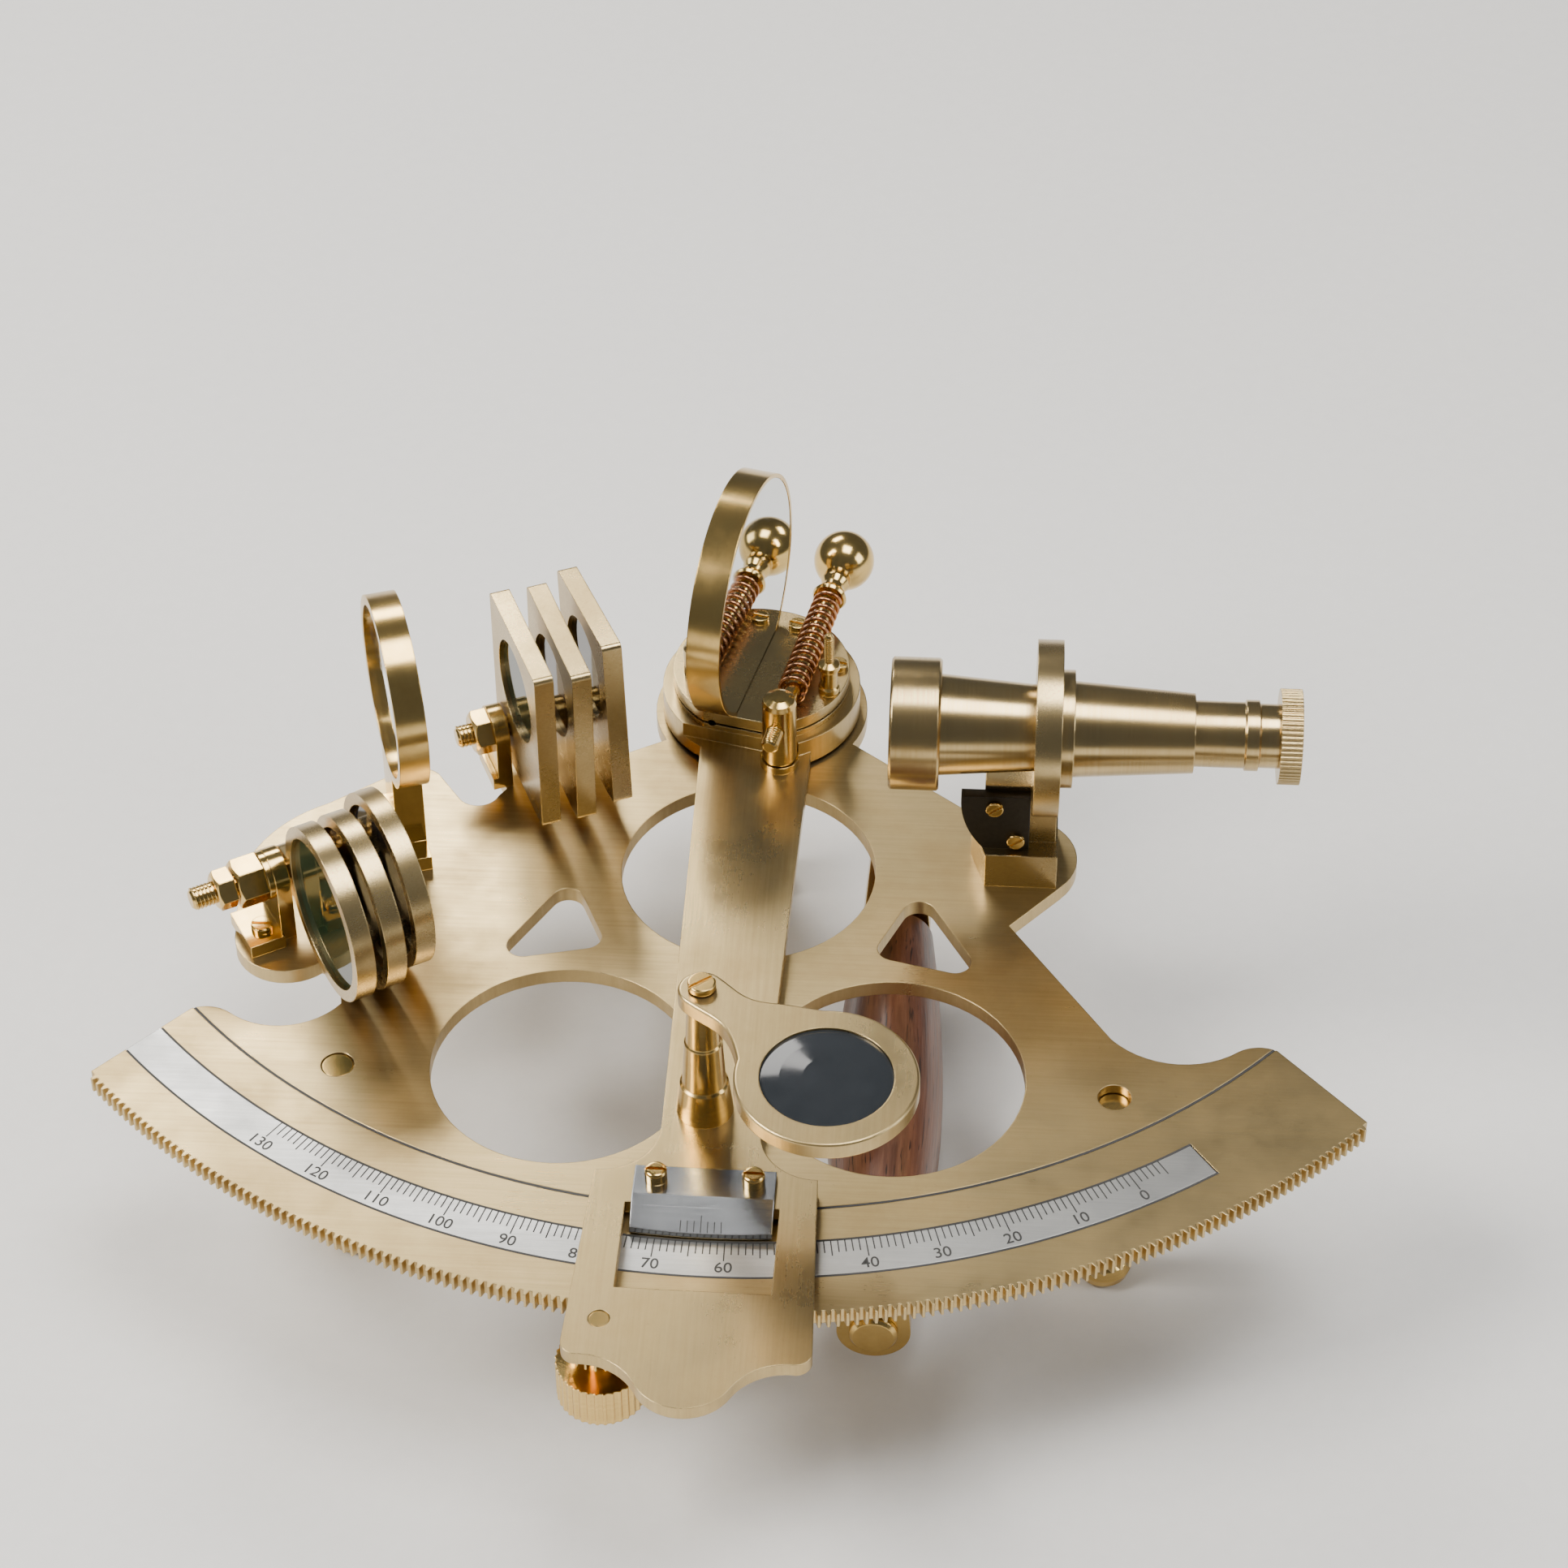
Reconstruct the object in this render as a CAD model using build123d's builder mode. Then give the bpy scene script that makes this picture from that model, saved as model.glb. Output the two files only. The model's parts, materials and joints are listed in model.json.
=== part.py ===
"""A brass vernier sextant with its telescope, mirrors, shade glasses and reading lens.

Millimetres, +Z up. The sextant stands on its three feet; the origin is the middle of the
underside of the pivot foot, so the Z axis is the pivot of the index arm. The arc lies
towards -Y and the telescope towards +X. Heights below are mostly given above the top
face of the frame plate, which is `plate_top`.
"""

import os
from math import atan2, cos, degrees, hypot, pi, radians, sin

from build123d import *

os.makedirs("parts", exist_ok=True)

# --- driving dimensions -------------------------------------------------------------
leg_height = 42.0
plate_thickness = 3.0
plate_top = leg_height + plate_thickness
running_clearance = 0.06
gap = 0.35

# the arc: a toothed rim that the pinion climbs, and an inlaid scale
gear_module = 0.5
rim_teeth = 600
rim_pitch_radius = gear_module * rim_teeth / 2
rim_root_radius = rim_pitch_radius - 0.6
arc_half_angle = 47.4
strip_inner, strip_outer = 134.2, 142.0
strip_thickness = 1.0
# the strip runs out past the plate's left end, where it is cut flush
strip_start, strip_end = -50.0, 36.5
line_radius = 126.8

# the scale: one division of the scale is half a degree of arc
zero_angle = 31.0
rest_reading = 63.5
arm_angle = zero_angle - rest_reading / 2

# the index arm
arm_bottom = plate_top + 0.8
arm_thickness = 2.6
arm_top = arm_bottom + arm_thickness
hub_radius = 18.6
hub_top = plate_top + 6.4
base_top = plate_top + 10.4
end_bottom_y = -172.5
pinion_teeth = 22
pinion_radius = gear_module * pinion_teeth / 2
pinion_centre_radius = rim_pitch_radius + pinion_radius
pinion_angle = -5.4

# the post of the ball screw stands on the arm against the hub, which is notched for it
swivel_spot = (4.5, -18.9)

# the optical parts
horizon_normal = 18.25
index_normal = horizon_normal - (rest_reading / 2)
axis_height = plate_top + 33.0
telescope_y = -40.0


def keep(piece, name):
    """Labels a finished piece and writes it to its own STEP file."""
    piece.label = name
    export_step(piece, f"parts/{name}.step")


def upright(x, y, z, azimuth):
    """A vertical plane at x, y, z facing the compass direction azimuth.

    Its own x axis runs level, away from the arc, its y axis runs up.
    """
    facing = radians(azimuth)
    return Plane(
        origin=(x, y, z),
        x_dir=(-sin(facing), cos(facing), 0),
        z_dir=(cos(facing), sin(facing), 0),
    )


def along_x(x, y, z):
    """A plane at x, y, z facing +X, with its own y axis up."""
    return upright(x, y, z, 0)


def polar(radius, angle):
    """A point at radius from the pivot, angle degrees from -Y towards +X."""
    return (radius * sin(radians(angle)), -radius * cos(radians(angle)))


def annular_sector(inner, outer, start, end):
    """The sketch of a strip between two radii and two angles about the pivot."""
    with BuildSketch() as strip:
        with BuildLine():
            CenterArc((0, 0), inner, -90 + start, end - start)
            Line(polar(inner, end), polar(outer, end))
            CenterArc((0, 0), outer, -90 + start, end - start)
            Line(polar(outer, start), polar(inner, start))
        make_face()
    return strip.sketch


def leaned(base, angle):
    """The plane base turned about its own z axis by angle degrees."""
    turned_x = base.x_dir * cos(radians(angle)) + base.y_dir * sin(radians(angle))
    return Plane(origin=base.origin, x_dir=turned_x, z_dir=base.z_dir)


def flipped(base):
    """The plane base facing the other way."""
    return Plane(origin=base.origin, x_dir=base.x_dir, z_dir=-base.z_dir)


def turned(profile, base):
    """A solid of revolution about the z axis of base, from (radius, height) corners."""
    plane = Plane(origin=base.origin, x_dir=base.x_dir, z_dir=-base.y_dir)
    with BuildPart() as work:
        with BuildSketch(plane):
            with BuildLine():
                Polyline(*profile, close=True)
            make_face()
        revolve(axis=Axis(base.origin, base.z_dir), revolution_arc=360)
    return work.part


def block(base, width, depth, height, radius=0.0):
    """A box standing on base, its four upright edges rounded by radius."""
    with BuildPart() as work:
        with BuildSketch(base):
            if radius:
                RectangleRounded(width, depth, radius)
            else:
                Rectangle(width, depth)
        extrude(amount=height)
    return work.part


def disc(base, radius, height, hole=0.0):
    """A round plate on base, with a hole through its middle when hole is given."""
    with BuildPart() as work:
        with BuildSketch(base):
            Circle(radius)
            if hole:
                Circle(hole, mode=Mode.SUBTRACT)
        extrude(amount=height)
    return work.part


def slotted_screw(base, head_radius, head_height):
    """The slotted cheese head of a screw, seated on base."""
    with BuildPart() as work:
        with BuildSketch(base):
            Circle(head_radius)
        extrude(amount=head_height)
        fillet(work.faces().sort_by(Axis(base.origin, base.z_dir))[-1].edges(), head_height * 0.25)
        with BuildSketch(base.offset(head_height)):
            Rectangle(head_radius * 2, head_radius * 0.32)
        extrude(amount=-head_height * 0.5, mode=Mode.SUBTRACT)
    return work.part


def hexagon_nut(base, across_flats, height, hole):
    """A hexagon nut on base with its upper corners chamfered."""
    corner = across_flats / (2 * cos(pi / 6))
    cone = turned(
        [(hole, 0), (corner, 0), (corner, height - 0.6), (corner - 0.9, height), (hole, height)],
        base,
    )
    with BuildPart() as work:
        with BuildSketch(base):
            RegularPolygon(corner, 6)
        extrude(amount=height)
        add(cone, mode=Mode.INTERSECT)
    return work.part


# --- the frame ----------------------------------------------------------------------
lobe_centre = (49.0, -38.6)
lobe_radius = 11.0
ear_centre = (-80.8, -65.5)
ear_radius = 9.6
side_hole_radius = 23.1
side_hole = polar(99.2, 16.7)
upper_hole = (0.4, -44.6)
foot_radius_from_pivot = 118.4
foot_spots = [polar(foot_radius_from_pivot, a) for a in (-34.8, 34.4)]
end_corner = polar(127.6, arc_half_angle + 0.8)
rim_corner = polar(rim_root_radius, arc_half_angle)


tooth_step = 360 / rim_teeth
tooth_count = int((arc_half_angle - 0.5) / tooth_step)
rim_tip_radius = rim_pitch_radius + 0.45
tooth_root_half, tooth_tip_half = 0.5, 0.2


def rim_teeth_points():
    """The corners of all the straight-sided rim teeth, from the +X end to the -X end."""
    points = []
    root = degrees(tooth_root_half / rim_root_radius)
    tip = degrees(tooth_tip_half / rim_tip_radius)
    for number in range(tooth_count, -tooth_count - 1, -1):
        angle = number * tooth_step
        points.append(polar(rim_root_radius, angle + root))
        points.append(polar(rim_tip_radius, angle + tip))
        points.append(polar(rim_tip_radius, angle - tip))
        points.append(polar(rim_root_radius, angle - root))
    return points


def frame_outline():
    """The plate without its teeth: pivot boss, two wings, telescope lobe, shade ear."""
    with BuildSketch() as outline:
        with BuildLine():
            Polyline((0, 0), (18.0, -9.6), (45.0, -30.9), (57.2, -46.0), (48.0, -56.6), (66.3, -83.8))
            ThreePointArc((66.3, -83.8), (78.5, -89.2), (88.4, -85.6))
            ThreePointArc((88.4, -85.6), (91.9, -84.4), end_corner)
            Line(end_corner, rim_corner)
            Polyline(rim_corner, *rim_teeth_points(), (-rim_corner[0], rim_corner[1]))
            Line((-rim_corner[0], rim_corner[1]), (-end_corner[0], end_corner[1]))
            ThreePointArc((-end_corner[0], end_corner[1]), (-91.9, -84.4), (-88.4, -85.6))
            ThreePointArc((-88.4, -85.6), (-78.5, -88.4), (-69.0, -82.4))
            Polyline((-69.0, -82.4), (-70.5, -74.0), (-90.7, -64.0), (-91.6, -50.0))
            ThreePointArc((-91.6, -50.0), (-88.0, -40.0), (-78.5, -31.0))
            Line((-78.5, -31.0), (-66.5, -21.6))
            ThreePointArc((-66.5, -21.6), (-62.6, -20.3), (-59.0, -21.8))
            Line((-59.0, -21.8), (-54.4, -28.3))
            ThreePointArc((-54.4, -28.3), (-51.0, -30.1), (-47.2, -27.2))
            Polyline((-47.2, -27.2), (-45.9, -25.2), (-50.3, -16.5), (-47.9, -14.1), (-24.4, -14.1), (0, 0))
        make_face()
        Circle(20.0)
        with Locations(lobe_centre):
            Circle(lobe_radius)
        with Locations(ear_centre):
            Circle(ear_radius)
    return outline.sketch


def triangle_cutout():
    """The rounded three-cornered opening on the +X side."""
    with BuildSketch() as opening:
        with BuildLine():
            Polyline((31.4, -47.5), (23.5, -65.5), (44.5, -70.6), close=True)
        make_face()
        fillet(opening.vertices(), 3.0)
    return opening.sketch


with BuildPart() as frame_plate:
    with BuildSketch(Plane.XY.offset(leg_height)):
        add(frame_outline())
        with Locations(side_hole, (-side_hole[0], side_hole[1]), upper_hole):
            Circle(side_hole_radius, mode=Mode.SUBTRACT)
        add(triangle_cutout(), mode=Mode.SUBTRACT)
        add(triangle_cutout().mirror(Plane.YZ), mode=Mode.SUBTRACT)
        with Locations(*foot_spots):
            Circle(2.9, mode=Mode.SUBTRACT)
        Circle(7.0, mode=Mode.SUBTRACT)
    extrude(amount=plate_thickness)
    with BuildSketch(Plane.XY.offset(plate_top)):
        add(annular_sector(strip_inner, strip_outer, strip_start, strip_end))
    extrude(amount=-strip_thickness, mode=Mode.SUBTRACT)
    with BuildSketch(Plane.XY.offset(plate_top)):
        add(annular_sector(line_radius, line_radius + 0.5, -arc_half_angle - 2, arc_half_angle + 2))
    extrude(amount=-0.35, mode=Mode.SUBTRACT)
keep(frame_plate.part, "frame_plate")

with BuildPart() as scale_strip:
    with BuildSketch(Plane.XY.offset(plate_top - strip_thickness)):
        add(annular_sector(strip_inner + 0.2, strip_outer - 0.2, strip_start, strip_end - 0.1))
        add(frame_outline(), mode=Mode.INTERSECT)
    extrude(amount=strip_thickness)
keep(scale_strip.part, "scale_strip")


# --- feet, pivot bush and handle ----------------------------------------------------
def leg(spot, stud_top):
    """A turned leg: threaded stud, shoulder, waist and a rounded toe."""
    toe = leg_height
    return turned(
        [
            (0, 0), (3.4, 0), (4.6, 0.9), (5.0, 2.4), (4.4, 4.2), (3.3, 5.2),
            (3.0, toe * 0.55), (3.6, toe - 9), (5.2, toe - 7.6), (6.4, toe - 4),
            (6.4, toe), (2.7, toe), (2.7, stud_top), (0, stud_top),
        ],
        Plane(origin=(spot[0], spot[1], 0)),
    )


keep(leg(foot_spots[0], plate_top - 0.25), "foot_left")
keep(leg(foot_spots[1], plate_top - 2.0), "foot_right")

bush_bottom = 27.0
shaft_radius = 4.0
pivot_bush = turned(
    [
        (shaft_radius + running_clearance, bush_bottom), (8.4, bush_bottom), (8.4, leg_height - 3.0),
        (13.0, leg_height - 3.0), (13.0, leg_height), (6.9, leg_height), (6.9, plate_top + 0.4),
        (shaft_radius + running_clearance, plate_top + 0.4),
    ],
    Plane.XY,
)
keep(pivot_bush, "pivot_bush")

foot_pivot = turned(
    [
        (0, 0), (4.2, 0), (5.6, 1.0), (6.0, 2.8), (5.2, 5.0), (4.2, 6.2), (4.0, 14.0),
        (5.2, 19.0), (8.4, 21.0), (8.4, bush_bottom), (0, bush_bottom),
    ],
    Plane.XY,
)
keep(foot_pivot, "foot_pivot")

bush_screw_spots = [polar(10.7, a) for a in (60, 180, 300)]
# the grip lies under the plate, parallel to the middle of the frame
grip_x = 27.0
grip_z = 14.6
grip_start, grip_end = -30.0, -118.0
grip_length = grip_start - grip_end
# each post: x, y and the turn of its foot, which follows the frame's band
post_spots = [(grip_x, grip_start + 5.0, -38.0), (grip_x, grip_end - 5.0, 0.0)]
post_foot_thickness = 2.6
grip_base = Plane(origin=(grip_x, grip_start, grip_z), x_dir=(1, 0, 0), z_dir=(0, -1, 0))

with BuildPart() as handle_grip:
    with BuildSketch(Plane(origin=grip_base.origin, x_dir=(1, 0, 0), z_dir=(0, 0, 1))):
        with BuildLine():
            Line((2.4, 0), (7.0, 0))
            Spline(
                (7.0, 0), (9.2, -grip_length * 0.25), (10.1, -grip_length * 0.6),
                (8.2, -grip_length * 0.9), (7.6, -grip_length),
            )
            Polyline((7.6, -grip_length), (2.4, -grip_length), (2.4, 0))
        make_face()
    revolve(axis=Axis(grip_base.origin, (0, 1, 0)), revolution_arc=360)
keep(handle_grip.part, "handle_grip")

with BuildPart() as handle_posts:
    for x, y, turn in post_spots:
        foot = leaned(Plane(origin=(x, y, leg_height - post_foot_thickness)), turn)
        add(block(foot, 20.0, 9.0, post_foot_thickness, 3.0))
        with BuildSketch(Plane(origin=(x, y - 3.5, 0), x_dir=(1, 0, 0), z_dir=(0, 1, 0))):
            with BuildLine():
                Polyline(
                    (-6.4, -grip_z), (-4.5, 2.0 - leg_height),
                    (4.5, 2.0 - leg_height), (6.4, -grip_z), close=True,
                )
            make_face()
            with Locations((0, -grip_z)):
                Circle(6.4)
                Circle(2.2, mode=Mode.SUBTRACT)
        extrude(amount=7.0)
keep(handle_posts.part, "handle_posts")

rod_overhang = 10.0
handle_rod = turned(
    [
        (0, -rod_overhang), (3.6, -rod_overhang), (4.2, 0.6 - rod_overhang), (4.2, 1.4 - rod_overhang),
        (2.15, 1.4 - rod_overhang), (2.15, grip_length + rod_overhang - 1.4),
        (4.2, grip_length + rod_overhang - 1.4), (4.2, grip_length + rod_overhang - 0.6),
        (3.6, grip_length + rod_overhang), (0, grip_length + rod_overhang),
    ],
    grip_base,
)
keep(handle_rod, "handle_rod")

with BuildPart() as underside_screws:
    for x, y in bush_screw_spots:
        add(slotted_screw(Plane(origin=(x, y, leg_height - 3.0), z_dir=(0, 0, -1)), 1.7, 1.1))
    for x, y, turn in post_spots:
        foot = leaned(Plane(origin=(x, y, leg_height - post_foot_thickness)), turn)
        for side in (-7.4, 7.4):
            seat = foot.from_local_coords((side, 0, 0))
            add(slotted_screw(Plane(origin=seat, z_dir=(0, 0, -1)), 1.7, 1.1))
keep(underside_screws.part, "underside_screws")

# --- index arm ----------------------------------------------------------------------
index_base_radius = 16.6
index_base_front = -15.2
swivel_notch = 3.95
mirror_plane = Plane(
    origin=(0, 0, 0),
    x_dir=(cos(radians(index_normal)), sin(radians(index_normal)), 0),
    z_dir=(0, 0, 1),
)


def hub_disc(radius):
    """The round hub, cut off square in front and notched round the swivel post."""
    with BuildSketch() as outline:
        with BuildSketch(mode=Mode.PRIVATE) as front:
            with Locations((0, index_base_front - 10)):
                Rectangle(60, 20)
        Circle(radius)
        add(front.sketch.rotate(Axis.Z, index_normal), mode=Mode.SUBTRACT)
        with Locations(swivel_spot):
            Circle(swivel_notch, mode=Mode.SUBTRACT)
    return outline.sketch


arm_plane = Plane(
    origin=(0, 0, 0),
    x_dir=(cos(radians(arm_angle)), sin(radians(arm_angle)), 0),
    z_dir=(0, 0, 1),
)
pinion_local = polar(pinion_centre_radius, pinion_angle)
window_top, window_bottom, window_half = -129.3, -148.0, 12.9


def arm_outline():
    """Tapered bar and bell-shaped end plate with its window, about the arm's own axis."""
    with BuildSketch() as outline:
        with BuildLine():
            Line((0, 0), (10.6, 0))
            Line((10.6, 0), (8.5, -112.0))
            ThreePointArc((8.5, -112.0), (11.0, -119.0), (18.8, -122.4))
            Line((18.8, -122.4), (20.4, -159.4))
            ThreePointArc((20.4, -159.4), (19.6, -161.7), (17.2, -162.4))
            ThreePointArc((17.2, -162.4), (11.6, -163.9), (7.9, -167.6))
            ThreePointArc((7.9, -167.6), (0, end_bottom_y), (-7.9, -167.6))
            ThreePointArc((-7.9, -167.6), (-11.6, -163.9), (-17.2, -162.4))
            ThreePointArc((-17.2, -162.4), (-19.6, -161.7), (-20.4, -159.4))
            Line((-20.4, -159.4), (-18.8, -122.4))
            ThreePointArc((-18.8, -122.4), (-11.0, -119.0), (-8.5, -112.0))
            Polyline((-8.5, -112.0), (-10.6, 0), (0, 0))
        make_face()
        with Locations((0, (window_top + window_bottom) / 2)):
            Rectangle(2 * window_half, window_top - window_bottom, mode=Mode.SUBTRACT)
        with Locations(pinion_local):
            Circle(1.75 + running_clearance, mode=Mode.SUBTRACT)
    return outline.sketch


with BuildPart() as index_arm:
    with BuildSketch(arm_plane.offset(arm_bottom)):
        add(arm_outline())
    extrude(amount=arm_thickness)
    with BuildSketch(Plane.XY.offset(arm_top)):
        add(hub_disc(hub_radius))
    extrude(amount=hub_top - arm_top)
    with BuildSketch(Plane.XY.offset(arm_bottom)):
        Circle(hub_radius)
    extrude(amount=arm_thickness)
keep(index_arm.part, "index_arm")

pivot_shaft = turned(
    [
        (0, bush_bottom + 2.0), (shaft_radius, bush_bottom + 2.0), (shaft_radius, arm_bottom),
        (0, arm_bottom),
    ],
    arm_plane,
)
keep(pivot_shaft, "pivot_shaft")

# the vernier: a flange on the end plate and a tongue that slopes down to the scale
vernier_edge = strip_inner - 0.3
vernier_half = 11.9
tongue_top = arm_top + 1.0
with BuildPart() as vernier_plate:
    with BuildSketch(Plane(origin=arm_plane.origin, x_dir=arm_plane.y_dir, z_dir=arm_plane.x_dir)):
        with BuildLine():
            Polyline(
                (-121.9, arm_top), (-121.9, tongue_top), (-128.2, tongue_top),
                (-vernier_edge - 1.2, plate_top + 0.75), (-vernier_edge - 1.2, plate_top + 0.35),
                (-129.8, plate_top + 0.35), (-129.8, arm_top), close=True,
            )
        make_face()
    extrude(amount=vernier_half, both=True)
    with BuildSketch(arm_plane.offset(plate_top)):
        Circle(vernier_edge + 2.5)
        Circle(vernier_edge, mode=Mode.SUBTRACT)
    extrude(amount=6, mode=Mode.SUBTRACT)
keep(vernier_plate.part, "vernier_plate")

vernier_screw_spots = [(-8.2, -124.6), (8.2, -124.6)]
with BuildPart() as vernier_screws:
    for x, y in vernier_screw_spots:
        spot = arm_plane.from_local_coords((x, y, tongue_top))
        add(slotted_screw(Plane(origin=spot, x_dir=arm_plane.x_dir, z_dir=(0, 0, 1)), 1.9, 2.4))
keep(vernier_screws.part, "vernier_screws")

# --- index mirror on its slotted base ------------------------------------------------
slot_height = base_top - 2.6
mirror_back_height = 6.5
with BuildPart() as mirror_base:
    with BuildSketch(Plane.XY.offset(hub_top)):
        add(hub_disc(index_base_radius))
    extrude(amount=base_top - hub_top)
    with BuildSketch(mirror_plane.offset(slot_height - 0.25)):
        with Locations((0, index_base_front + 8)):
            Rectangle(60, 20)
    extrude(amount=0.5, mode=Mode.SUBTRACT)
    with BuildSketch(
        Plane(
            origin=mirror_plane.from_local_coords((-5.0, index_base_front - 1, slot_height)),
            x_dir=mirror_plane.x_dir,
            z_dir=mirror_plane.y_dir,
        )
    ):
        Circle(0.75)
    extrude(amount=12, mode=Mode.SUBTRACT)
    with BuildSketch(mirror_plane.offset(base_top)):
        with Locations((-10.1, 0.4)):
            RectangleRounded(7.0, 15.0, 2.0)
    extrude(amount=mirror_back_height)
    chamfer(mirror_base.faces().sort_by(Axis.Z)[-1].edges(), 0.6)
keep(mirror_base.part, "mirror_base")

index_ring_radius = 22.9
index_ring_depth = 6.2
index_centre_height = plate_top + 28.9
index_ring_back = mirror_plane.from_local_coords((-6.6, -1.6, 0))
index_face = upright(index_ring_back.X, index_ring_back.Y, index_centre_height, index_normal)
foot_drop = index_centre_height - base_top


def mirror_ring(face, radius, bore, depth, floor_thickness):
    """A shallow cup: a ring closed at the back by a thin floor."""
    return turned(
        [(0, 0), (radius, 0), (radius, depth), (bore, depth), (bore, floor_thickness), (0, floor_thickness)],
        face,
    )


with BuildPart() as index_mirror_ring:
    add(mirror_ring(index_face, index_ring_radius, index_ring_radius - 0.8, index_ring_depth, 2.6))
    with BuildSketch(index_face):
        with Locations((0, -index_ring_radius)):
            Rectangle(60, 2 * (index_ring_radius - foot_drop))
    extrude(amount=index_ring_depth, mode=Mode.SUBTRACT)
keep(index_mirror_ring.part, "index_mirror_ring")

glass_radius = index_ring_radius - 0.85
with BuildPart() as index_mirror_glass:
    with BuildSketch(index_face.offset(2.6)):
        Circle(glass_radius)
        with Locations((0, -index_ring_radius)):
            Rectangle(60, 2 * (index_ring_radius - foot_drop + 0.3), mode=Mode.SUBTRACT)
    extrude(amount=index_ring_depth - 2.7)
keep(index_mirror_glass.part, "index_mirror_glass")

with BuildPart() as mirror_base_screws:
    for x, y in ((-10.2, 0.4),):
        spot = mirror_plane.from_local_coords((x, y, base_top + mirror_back_height))
        add(slotted_screw(Plane(origin=spot, x_dir=mirror_plane.x_dir, z_dir=(0, 0, 1)), 2.3, 1.5))
    for x, y in ((3.2, 12.8), (13.9, 4.0)):
        spot = mirror_plane.from_local_coords((x, y, base_top))
        add(slotted_screw(Plane(origin=spot, x_dir=mirror_plane.x_dir, z_dir=(0, 0, 1)), 1.7, 1.2))
keep(mirror_base_screws.part, "mirror_base_screws")

adjuster_spot = mirror_plane.from_local_coords((14.1, -3.0, base_top))
mirror_adjuster = turned(
    [
        (0, 0), (2.0, 0), (2.0, 1.2), (1.6, 1.6), (1.6, 5.2), (2.0, 5.6), (2.0, 6.6), (0.85, 7.2),
        (0.85, 13.2), (0.5, 13.8), (0, 13.8),
    ],
    Plane(origin=(adjuster_spot.X, adjuster_spot.Y, adjuster_spot.Z)),
)
keep(mirror_adjuster, "mirror_adjuster")

# --- swivel post with its spring-loaded ball screw -----------------------------------
swivel_radius = 3.2
swivel_height = 16.4
ball_axis_height = plate_top + 13.4
rod_radius = 1.55
screw_azimuth = index_normal + 92
screw_plane = Plane(
    origin=(swivel_spot[0], swivel_spot[1], ball_axis_height),
    x_dir=(sin(radians(screw_azimuth)), -cos(radians(screw_azimuth)), 0),
    z_dir=(cos(radians(screw_azimuth)), sin(radians(screw_azimuth)), 0),
)

swivel_collar = turned(
    [
        (1.5 + running_clearance, arm_top), (3.6, arm_top), (3.6, arm_top + 1.5),
        (1.5 + running_clearance, arm_top + 1.5),
    ],
    Plane(origin=(swivel_spot[0], swivel_spot[1], 0)),
)
with BuildPart() as swivel_post:
    add(swivel_collar)
    add(
        turned(
            [
                (0, arm_top), (1.5, arm_top), (1.5, arm_top + 1.8), (swivel_radius, arm_top + 1.8),
                (swivel_radius, arm_top + swivel_height - 1.8), (2.9, arm_top + swivel_height - 0.8),
                (1.8, arm_top + swivel_height - 0.2), (0, arm_top + swivel_height),
            ],
            Plane(origin=(swivel_spot[0], swivel_spot[1], 0)),
        )
    )
    with BuildSketch(screw_plane.offset(-8)):
        Circle(rod_radius + running_clearance)
    extrude(amount=16, mode=Mode.SUBTRACT)
keep(swivel_post.part, "swivel_post")

collar_start = 36.4
ball_radius = 5.8
ball_centre = 48.3
ball_screw = turned(
    [
        (0, -7.4), (1.1, -7.4), (rod_radius, -7.0), (rod_radius, collar_start), (3.0, collar_start),
        (3.3, collar_start + 0.6), (3.0, collar_start + 1.4), (2.1, collar_start + 2.6),
        (2.1, collar_start + 3.6), (2.7, collar_start + 4.8), (2.5, collar_start + 7.0),
        (0, collar_start + 7.0),
    ],
    screw_plane,
)
with BuildPart() as ball_screw_part:
    add(ball_screw)
    with BuildSketch(Plane(origin=screw_plane.origin, x_dir=screw_plane.x_dir, z_dir=-screw_plane.y_dir)):
        with BuildLine():
            ThreePointArc(
                (0, ball_centre + ball_radius), (ball_radius, ball_centre), (0, ball_centre - ball_radius)
            )
            Line((0, ball_centre - ball_radius), (0, ball_centre + ball_radius))
        make_face()
    revolve(axis=Axis(screw_plane.origin, screw_plane.z_dir), revolution_arc=360)
keep(ball_screw_part.part, "ball_screw")

spring_start = 8.6
spring_end = collar_start - 0.55
spring_turns = 14
spring_radius = 2.35
wire_radius = 0.42
with BuildPart() as ball_screw_spring:
    with BuildLine() as coil:
        Helix(
            pitch=(spring_end - spring_start) / spring_turns,
            height=spring_end - spring_start,
            radius=spring_radius,
            center=screw_plane.offset(spring_start).origin,
            direction=screw_plane.z_dir,
        )
    with BuildSketch(Plane(origin=coil.line @ 0, z_dir=coil.line % 0)):
        Circle(wire_radius)
    sweep()
keep(ball_screw_spring.part, "ball_screw_spring")

# --- reading lens on its post ---------------------------------------------------------
lens_post_spot = (-2.9, -107.2)
lens_plate_bottom = plate_top + 29.4
lens_plate_thickness = 3.0
lens_centre = (18.8, -126.2)
lens_radius = 11.0
lens_ring_radius = 15.2
reach = hypot(lens_centre[0] - lens_post_spot[0], lens_centre[1] - lens_post_spot[1])
reach_angle = degrees(atan2(lens_centre[1] - lens_post_spot[1], lens_centre[0] - lens_post_spot[0]))
pin_radius = 1.6

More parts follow.
